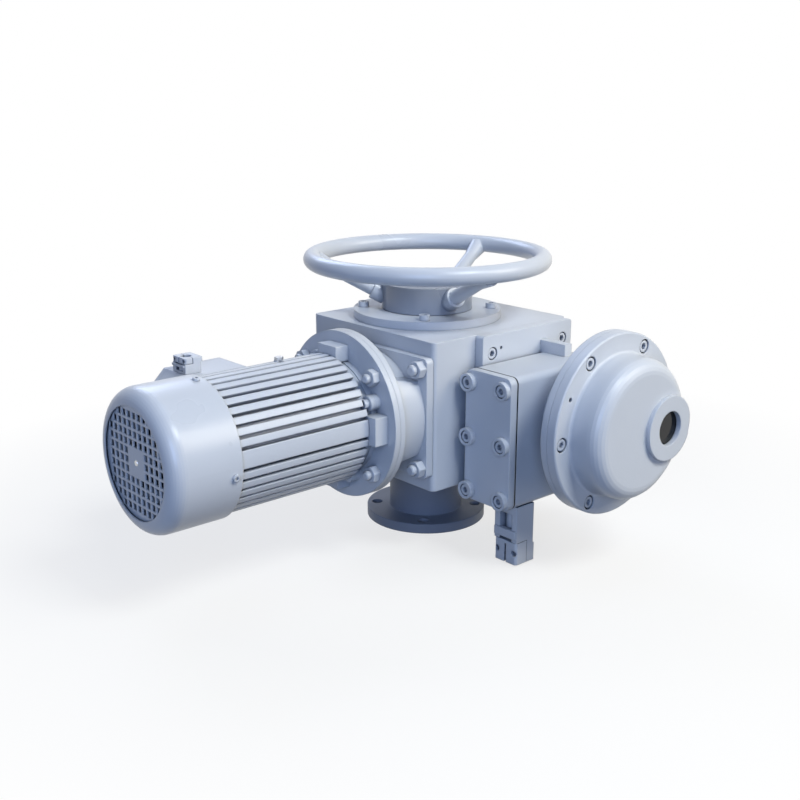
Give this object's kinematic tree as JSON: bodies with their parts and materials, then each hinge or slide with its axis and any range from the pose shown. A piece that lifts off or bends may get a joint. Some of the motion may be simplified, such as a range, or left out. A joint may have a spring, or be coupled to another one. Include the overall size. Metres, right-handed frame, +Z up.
{
  "type": "electric valve actuator",
  "caption": "Multi-turn electric valve actuator: worm gearbox on a round valve flange, finned flange motor, round control unit with an indicator window, and a top handwheel.",
  "frame": {"origin": "on the output axis, in the bottom plane of the base flange", "axes": "+Z up along the output axis towards the handwheel, -Y along the motor, +X towards the control unit"},
  "size_m": [0.458, 0.574, 0.3395],
  "materials": {
    "machine_paint": "satin light blue-grey machine paint",
    "steel": "plain or zinc-plated steel",
    "core_iron": "stacked electrical sheet",
    "copper": null,
    "bronze": "machined bronze",
    "gasket": "black rubber",
    "black_plastic": "moulded black plastic",
    "window": "dark clear pane",
    "dial": "white plastic dial"
  },
  "bodies": {
    "actuator_body": {"gearbox_housing": "machine_paint", "base_flange": "machine_paint", "base_screws": "steel", "top_bearing_cover": "machine_paint", "top_cover_screws": "machine_paint", "worm_end_cap": "machine_paint", "worm_end_screws": "machine_paint", "sleeve_bearings": "steel", "worm_bearings": "steel", "motor_adapter": "machine_paint", "adapter_studs": "machine_paint", "adapter_nuts": "machine_paint", "motor_front_shield": "machine_paint", "flange_studs": "machine_paint", "flange_nuts": "machine_paint", "shield_screws": "machine_paint", "stator_frame": "machine_paint", "stator_core": "core_iron", "stator_winding": "copper", "motor_bearings": "steel", "motor_rear_shield": "machine_paint", "fan_cowl": "machine_paint", "fan_grille": "machine_paint", "cowl_screws": "machine_paint", "earth_screw": "steel", "motor_terminal_box": "machine_paint", "motor_box_lid": "machine_paint", "motor_box_screws": "machine_paint", "motor_gland": "machine_paint", "motor_gland_saddle": "machine_paint", "control_housing": "machine_paint", "control_screws": "machine_paint", "terminal_gasket": "gasket", "terminal_cover": "machine_paint", "terminal_screws": "machine_paint", "terminal_strip": "black_plastic", "mechanism_plate": "steel", "limit_switches": "black_plastic", "counter_gear_unit": "bronze", "control_cover": "machine_paint", "cover_screws": "machine_paint", "window_glass": "window", "window_retainer": "steel", "cable_gland": "machine_paint", "gland_saddle": "machine_paint", "gland_screws": "machine_paint"},
    "handwheel": {"handwheel": "machine_paint", "handwheel_cap": "machine_paint"},
    "rotor": {"motor_shaft": "steel", "motor_pinion": "steel", "rotor_core": "core_iron", "cooling_fan": "black_plastic"},
    "worm": {"worm_shaft": "steel", "worm_spur_gear": "steel"},
    "output": {"drive_sleeve": "steel", "worm_wheel": "bronze", "stem_nut": "bronze"},
    "indicator": {"indicator_dial": "dial"}
  },
  "joints": [
    {"name": "rotor_spin", "type": "hinge", "parent": "actuator_body", "child": "rotor", "pos_m": [0.032, 0, 0.171], "axis": [0, 1, 0], "continuous": true},
    {"name": "worm_spin", "type": "hinge", "parent": "actuator_body", "child": "worm", "pos_m": [0.062, 0, 0.171], "axis": [0, 1, 0], "continuous": true},
    {"name": "output_spin", "type": "hinge", "parent": "actuator_body", "child": "output", "pos_m": [0, 0, 0.171], "axis": [0, 0, 1], "continuous": true},
    {"name": "indicator_spin", "type": "hinge", "parent": "actuator_body", "child": "indicator", "pos_m": [0.28, 0.08, 0.168], "axis": [1, 0, 0], "continuous": true},
    {"name": "handwheel_spin", "type": "hinge", "parent": "actuator_body", "child": "handwheel", "pos_m": [0, 0, 0.3], "axis": [0, 0, 1], "continuous": true}
  ],
  "couplings": [
    {"joint": "worm_spin", "follows": "rotor_spin", "ratio": -0.6},
    {"joint": "output_spin", "follows": "rotor_spin", "ratio": 0.015},
    {"joint": "indicator_spin", "follows": "rotor_spin", "ratio": 0.0003}
  ]
}
